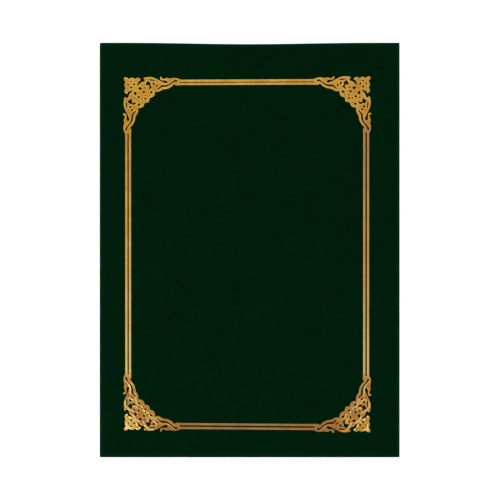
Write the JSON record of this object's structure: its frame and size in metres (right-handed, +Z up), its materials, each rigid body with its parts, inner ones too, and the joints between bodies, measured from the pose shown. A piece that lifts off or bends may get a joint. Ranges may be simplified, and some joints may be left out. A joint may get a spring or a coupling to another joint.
{
  "type": "certificate holder",
  "caption": "Book-style A4 certificate holder: dark green leatherette covers hinged on a square spine, cream lining with ribbon corners, gilt double-rule border with scroll corners.",
  "frame": {"origin": "centre of the back cover's outer face, on the surface that the closed holder lies on", "axes": "+X from the spine to the fore-edge, +Y from tail to head, +Z up through the front cover"},
  "size_m": [0.225, 0.311, 0.0087],
  "materials": {
    "leatherette": "matte",
    "greyboard": "matte",
    "infill_card": "matte",
    "lining_paper": "matte",
    "satin_ribbon": "satin",
    "gold_foil": "satin"
  },
  "bodies": {
    "back_cover": {"back_wrap": "leatherette", "back_board": "greyboard", "back_infill": "infill_card", "back_inner_strip": "leatherette", "back_lining": "lining_paper", "ribbon_head_spine": "satin_ribbon", "ribbon_head_fore": "satin_ribbon", "ribbon_tail_spine": "satin_ribbon", "ribbon_tail_fore": "satin_ribbon", "back_hinge_cloth": "leatherette"},
    "spine": {"spine_wrap": "leatherette", "spine_board": "greyboard", "spine_inner_strip": "leatherette"},
    "front_cover": {"front_wrap": "leatherette", "front_board": "greyboard", "front_infill": "infill_card", "front_inner_strip": "leatherette", "front_lining": "lining_paper", "front_hinge_cloth": "leatherette", "foil_corner_head_spine": "gold_foil", "foil_corner_head_fore": "gold_foil", "foil_corner_tail_spine": "gold_foil", "foil_corner_tail_fore": "gold_foil", "foil_line_head_outer": "gold_foil", "foil_line_head_inner": "gold_foil", "foil_line_tail_outer": "gold_foil", "foil_line_tail_inner": "gold_foil", "foil_line_spine_outer": "gold_foil", "foil_line_spine_inner": "gold_foil", "foil_line_fore_outer": "gold_foil", "foil_line_fore_inner": "gold_foil"}
  },
  "joints": [
    {"name": "spine_fold", "type": "hinge", "parent": "back_cover", "child": "spine", "pos_m": [-0.11218, 0, 0.00032], "axis": [0, -1, 0], "range_deg": [0, 90], "deforming": ["back_hinge_cloth"]},
    {"name": "front_fold", "type": "hinge", "parent": "spine", "child": "front_cover", "pos_m": [-0.11218, 0, 0.00818], "axis": [0, -1, 0], "range_deg": [0, 90], "deforming": ["front_hinge_cloth"]}
  ]
}
